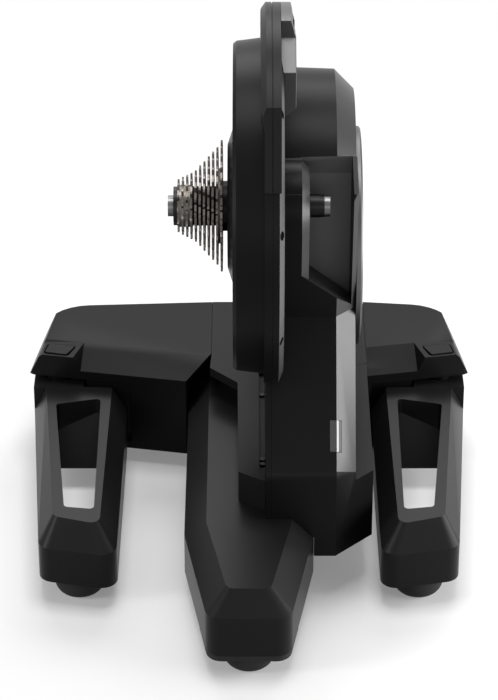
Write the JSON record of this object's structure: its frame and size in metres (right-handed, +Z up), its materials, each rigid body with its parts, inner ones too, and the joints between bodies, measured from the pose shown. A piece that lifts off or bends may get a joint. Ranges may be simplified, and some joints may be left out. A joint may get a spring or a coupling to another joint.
{
  "type": "direct drive bike trainer",
  "caption": "Direct drive bike trainer: cogs on a hollow axle turn a belt and flywheel in a tall housing on a base whose side legs swing out.",
  "frame": {"origin": "on the floor, midway along and across the overall box, straight below the hollow axle", "axes": "+X toward the flywheel side along the axle, -Y toward the centre leg's front end (the bike's front), +Z up"},
  "size_m": [0.4206, 0.457, 0.5188],
  "materials": {
    "black_shell": "satin, fine texture",
    "leg_black": "black powder coat, satin",
    "dark_plastic": "matt",
    "rubber": "matt",
    "black_metal": "satin black",
    "bare_steel": "bare",
    "cog_steel": "warm plated steel",
    "cast_alloy": "as cast",
    "flywheel_metal": "turned bright face",
    "bronze": "bare",
    "board_green": "gloss",
    "winding": "varnished",
    "lens": "clear grey"
  },
  "bodies": {
    "frame": {"centre_leg": "leg_black", "deck_cover": "black_shell", "left_wing_cover": "black_shell", "right_wing_cover": "black_shell", "crossbar_pan": "dark_plastic", "cross_beam": "bare_steel", "hinge_brackets": "bare_steel", "hinge_pins": "bare_steel", "front_foot": "rubber", "rear_feet": "rubber", "base_screws": "black_metal", "drive_side_cover": "black_shell", "seam_plate": "black_shell", "flywheel_side_cover": "black_shell", "boss_cover": "black_shell", "drum_cover": "black_shell", "handle_arch": "black_shell", "handle_grip": "black_shell", "housing_screws": "black_metal", "status_light": "lens", "main_frame": "cast_alloy", "hollow_axle": "bare_steel", "left_end_cap": "bare_steel", "right_end_cap": "bare_steel", "axle_collar": "black_metal", "hub_bearings": "bare_steel", "freehub_bearings": "bare_steel", "flywheel_bearings": "bare_steel", "drive_belt": "rubber", "idler_arm": "bare_steel", "brake_stator": "winding", "control_board": "board_green", "power_socket": "dark_plastic", "deck_screws": "bare_steel", "frame_bolts": "bare_steel", "left_button_spring": "bare_steel", "right_button_spring": "bare_steel"},
    "pulley_hub": {"drive_pulley": "bare_steel", "ratchet_ring": "bare_steel"},
    "cassette": {"freehub_body": "black_metal", "pawls": "bare_steel", "small_cogs": "cog_steel", "middle_cogs": "cog_steel", "large_cogs": "cog_steel", "cog_spacers": "dark_plastic", "lockring": "black_metal", "hub_collar": "black_metal"},
    "flywheel_set": {"flywheel": "flywheel_metal", "flywheel_shaft": "bare_steel", "small_pulley": "bare_steel", "flywheel_nut": "black_metal"},
    "idler": {"idler_pulley": "dark_plastic"},
    "left_leg_set": {"left_leg": "leg_black", "left_leg_foot": "rubber", "left_leg_bush": "bronze"},
    "right_leg_set": {"right_leg": "leg_black", "right_leg_foot": "rubber", "right_leg_bush": "bronze"},
    "left_release": {"left_button": "black_shell"},
    "right_release": {"right_button": "black_shell"}
  },
  "joints": [
    {"name": "flywheel_spin", "type": "hinge", "parent": "frame", "child": "flywheel_set", "pos_m": [0, 0.091, 0.2623], "axis": [1, 0, 0], "continuous": true},
    {"name": "drive_pulley_spin", "type": "hinge", "parent": "frame", "child": "pulley_hub", "pos_m": [0, 0, 0.3413], "axis": [1, 0, 0], "continuous": true},
    {"name": "idler_spin", "type": "hinge", "parent": "frame", "child": "idler", "pos_m": [0, 0.11587, 0.30858], "axis": [1, 0, 0], "continuous": true},
    {"name": "freehub_spin", "type": "hinge", "parent": "pulley_hub", "child": "cassette", "pos_m": [0, 0, 0.3413], "axis": [1, 0, 0], "continuous": true},
    {"name": "left_leg_swing", "type": "hinge", "parent": "frame", "child": "left_leg_set", "pos_m": [-0.182, 0.139, 0.052], "axis": [0, 0, -1], "range_deg": [0, 40]},
    {"name": "right_leg_swing", "type": "hinge", "parent": "frame", "child": "right_leg_set", "pos_m": [0.182, 0.139, 0.052], "axis": [0, 0, 1], "range_deg": [0, 40]},
    {"name": "left_button_press", "type": "slide", "parent": "frame", "child": "left_release", "axis": [0, 0, -1], "range_m": [0, 0.004], "stiffness_N_per_m": 800, "deforming": ["left_button_spring"]},
    {"name": "right_button_press", "type": "slide", "parent": "frame", "child": "right_release", "axis": [0, 0, -1], "range_m": [0, 0.004], "stiffness_N_per_m": 800, "deforming": ["right_button_spring"]}
  ],
  "couplings": [
    {"joint": "drive_pulley_spin", "follows": "flywheel_spin", "ratio": 0.14433},
    {"joint": "idler_spin", "follows": "flywheel_spin", "ratio": -1.1667}
  ]
}
